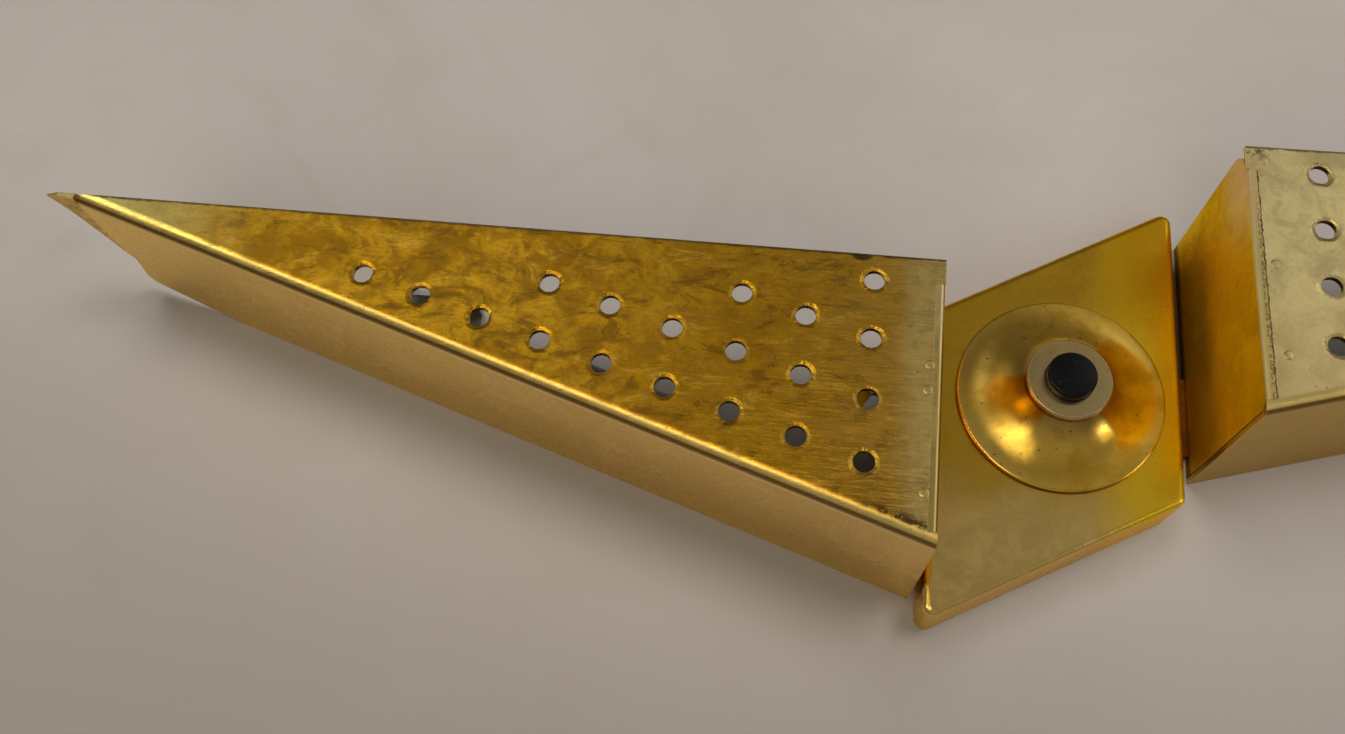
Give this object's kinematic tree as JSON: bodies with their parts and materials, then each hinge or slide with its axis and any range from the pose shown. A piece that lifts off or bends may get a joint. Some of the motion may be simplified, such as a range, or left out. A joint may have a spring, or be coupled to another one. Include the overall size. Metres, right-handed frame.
{
  "type": "wall light",
  "caption": "Shallow brass wall light: two perforated wedge-shaped shades in mirror image beside a small pan with a spun rosette and a push switch.",
  "frame": {"origin": "on the push switch's axis, in the back plane that sits on the wall", "axes": "+X along the wings to the right, +Y up the wall, +Z out from the wall along the push button"},
  "size_m": [0.4072, 0.0894, 0.04],
  "materials": {
    "shade_brass": "aged lacquered brass sheet, semi-polished, mottled tarnish",
    "end_brass": "polished brass sheet with a soldered lap",
    "tip_copper": "copper-coloured solder-filled nose, satin",
    "pan_brass": "polished brass sheet, thin lacquer",
    "rosette_brass": "spun brass, bright polished, faint spinning marks",
    "collar_brass": "turned brass, pale, bevelled edge",
    "plated_steel": "zinc-plated steel, dull",
    "steel_screws": "zinc-plated screws and nuts",
    "bakelite": "black phenolic moulding, polished",
    "brown_moulding": "brown phenolic moulding, dull",
    "block_plastic": "cream urea moulding",
    "terminal_brass": "plain turned brass",
    "fibre_board": "vulcanised fibre, matt",
    "clip_metal": "spring bronze, dull",
    "lamp_glass": "clear soda glass",
    "lamp_cap": "thin bright metal cap",
    "filament": "coiled tungsten wire",
    "lead_cover": "dark rubber-covered wire",
    "spring_steel": "bright spring wire",
    "contact_metal": "phosphor bronze strip"
  },
  "bodies": {
    "light": {"center_pan": "pan_brass", "rosette": "rosette_brass", "collar_nut": "collar_brass", "switch_bush": "terminal_brass", "lock_washer": "plated_steel", "switch_nut": "terminal_brass", "switch_housing": "brown_moulding", "switch_base": "brown_moulding", "switch_contacts": "contact_metal", "return_spring": "spring_steel", "spine_bar": "end_brass", "spine_nuts": "steel_screws", "pan_pillars": "terminal_brass", "terminal_block": "block_plastic", "terminal_inserts": "terminal_brass", "terminal_screws": "steel_screws", "block_bush": "terminal_brass", "block_screw": "steel_screws", "switch_lead": "lead_cover", "wing_screws": "steel_screws", "pan_screws": "steel_screws", "left_shade": "shade_brass", "left_end_plate": "end_brass", "left_tip_cap": "tip_copper", "left_hanger_strap": "plated_steel", "left_lamp_board": "fibre_board", "left_board_studs": "terminal_brass", "left_board_nuts": "steel_screws", "left_clip_rivets": "terminal_brass", "left_lamp_clips": "clip_metal", "left_lamp_glass": "lamp_glass", "left_lamp_caps": "lamp_cap", "left_lamp_filament": "filament", "left_lamp_leads": "lead_cover", "right_shade": "shade_brass", "right_end_plate": "end_brass", "right_tip_cap": "tip_copper", "right_hanger_strap": "plated_steel", "right_lamp_board": "fibre_board", "right_board_studs": "terminal_brass", "right_board_nuts": "steel_screws", "right_clip_rivets": "terminal_brass", "right_lamp_clips": "clip_metal", "right_lamp_glass": "lamp_glass", "right_lamp_caps": "lamp_cap", "right_lamp_filament": "filament", "right_lamp_leads": "lead_cover"},
    "button": {"push_button": "bakelite"},
    "rotor": {"contact_rotor": "brown_moulding", "contact_bridge": "contact_metal"}
  },
  "joints": [
    {"name": "button_push", "type": "slide", "parent": "light", "child": "button", "axis": [0, 0, -1], "range_m": [0, 0.0022], "stiffness_N_per_m": 900, "springref_m": -0.0012, "deforming": ["return_spring"]},
    {"name": "rotor_turn", "type": "hinge", "parent": "light", "child": "rotor", "pos_m": [0, 0, 0.0062], "axis": [0, 0, 1], "range_deg": [0, 90]}
  ],
  "couplings": [
    {"joint": "rotor_turn", "follows": "button_push", "rad_per_m": 714}
  ]
}
